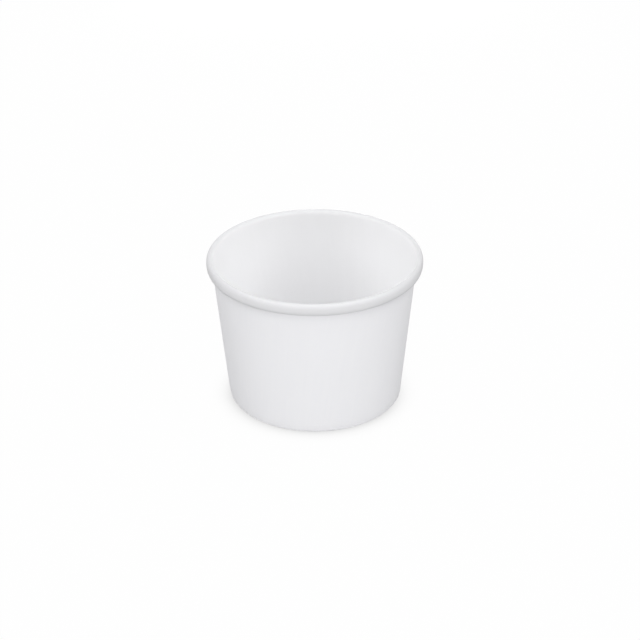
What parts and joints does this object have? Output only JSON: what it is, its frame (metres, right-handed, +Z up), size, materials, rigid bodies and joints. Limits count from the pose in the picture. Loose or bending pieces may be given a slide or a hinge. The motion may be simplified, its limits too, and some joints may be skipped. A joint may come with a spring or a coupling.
{
  "type": "paper bowl",
  "caption": "Round white paper bowl with a tapered board wall, rolled rim, lapped side seam and a recessed base disc held in a folded hem, for ice cream or soup.",
  "frame": {"origin": "centre of the foot, on the table", "axes": "+Z up along the bowl's axis, the outer cut edge of the side seam on the -X side"},
  "size_m": [0.075, 0.075, 0.0532],
  "materials": {
    "wall_board": "white coated paperboard, matt outside with a thin sealing film",
    "base_board": "white coated paperboard, matt"
  },
  "bodies": {
    "root": {"side_wall": "wall_board", "base_disc": "base_board"}
  },
  "joints": []
}
